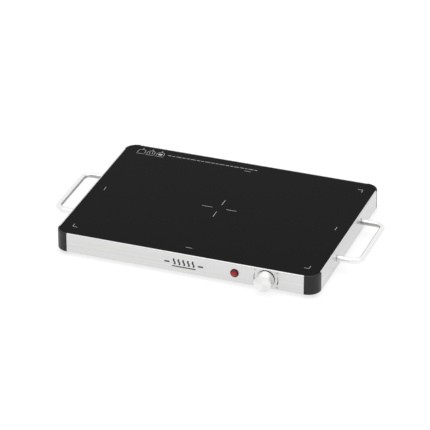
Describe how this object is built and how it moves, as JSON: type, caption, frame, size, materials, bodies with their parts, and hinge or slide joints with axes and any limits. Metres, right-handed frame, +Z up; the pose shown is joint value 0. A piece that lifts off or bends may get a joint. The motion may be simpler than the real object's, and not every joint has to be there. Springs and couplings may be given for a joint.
{
  "type": "electric warming tray",
  "caption": "Low rectangular electric warming tray with a black glass top, steel side panels, black corner caps, bar handles, a pilot lamp and a thermostat knob.",
  "frame": {"origin": "centre of the footprint's bounding box, on the surface the feet stand on; the body's own centre is 9.7 mm behind it because the knob reaches further out than the inlet", "axes": "+X to the right along the front panel, +Y from the front panel to the rear, +Z up out of the glass"},
  "size_m": [0.664, 0.4422, 0.0495],
  "materials": {
    "black_glass": "polished opaque black glass",
    "brushed_steel": "fine horizontal brush",
    "handle_steel": "satin, nearly polished",
    "black_plastic": "moulded, satin",
    "rubber": "matte",
    "silicone": "satin",
    "zinc_plate": "zinc plated",
    "aluminium": "mill",
    "knob_metal": "turned, satin",
    "mica": "pressed sheet",
    "heater_alloy": "rolled strip",
    "mineral_fibre": "needled blanket",
    "ceramic": "unglazed",
    "brass": "machined",
    "red_lens": "clear red, polished",
    "lamp_glass": "clear",
    "cable_sleeve": "glass-braid sleeve",
    "earth_sleeve": "glass-braid sleeve"
  },
  "bodies": {
    "tray": {"glass_top": "black_glass", "front_rail": "brushed_steel", "right_rail": "brushed_steel", "rear_rail": "brushed_steel", "left_rail": "brushed_steel", "handle_left": "handle_steel", "handle_right": "handle_steel", "corner_cap_front_left": "black_plastic", "corner_cap_front_right": "black_plastic", "corner_cap_rear_right": "black_plastic", "corner_cap_rear_left": "black_plastic", "inlet_housing": "black_plastic", "lamp_socket": "black_plastic", "foot_front_left": "rubber", "foot_front_right": "rubber", "foot_rear_right": "rubber", "foot_rear_left": "rubber", "glass_seal": "silicone", "base_pan": "zinc_plate", "handle_backplate_left": "zinc_plate", "handle_backplate_right": "zinc_plate", "tray_support_left": "zinc_plate", "tray_support_right": "zinc_plate", "lamp_clip": "zinc_plate", "thermal_fuse": "zinc_plate", "inlet_screw_left": "zinc_plate", "inlet_screw_right": "zinc_plate", "foot_screw_front_left": "zinc_plate", "foot_screw_front_right": "zinc_plate", "foot_screw_rear_right": "zinc_plate", "foot_screw_rear_left": "zinc_plate", "handle_screw_left_front": "zinc_plate", "handle_screw_left_rear": "zinc_plate", "handle_screw_right_front": "zinc_plate", "handle_screw_right_rear": "zinc_plate", "heat_spreader": "aluminium", "reflector_tray": "aluminium", "mica_board": "mica", "heating_ribbon": "heater_alloy", "insulation_pad": "mineral_fibre", "thermostat_body": "ceramic", "terminal_block": "ceramic", "thermostat_nut": "brass", "thermostat_sensor": "brass", "inlet_pin_live": "brass", "inlet_pin_neutral": "brass", "inlet_pin_earth": "brass", "lamp_lens": "red_lens", "neon_lamp": "lamp_glass", "cable_inlet_live": "cable_sleeve", "cable_inlet_neutral": "cable_sleeve", "cable_fuse_thermostat": "cable_sleeve", "cable_heater_live": "cable_sleeve", "cable_heater_neutral": "cable_sleeve", "cable_thermostat_lamp": "cable_sleeve", "cable_inlet_earth": "earth_sleeve"},
    "knob": {"knob_cap": "knob_metal", "knob_hub": "black_plastic", "thermostat_shaft": "brass"}
  },
  "joints": [
    {"name": "knob_turn", "type": "hinge", "parent": "tray", "child": "knob", "pos_m": [0.1725, -0.19675, 0.02875], "axis": [0, 1, 0], "range_deg": [0, 290]}
  ]
}
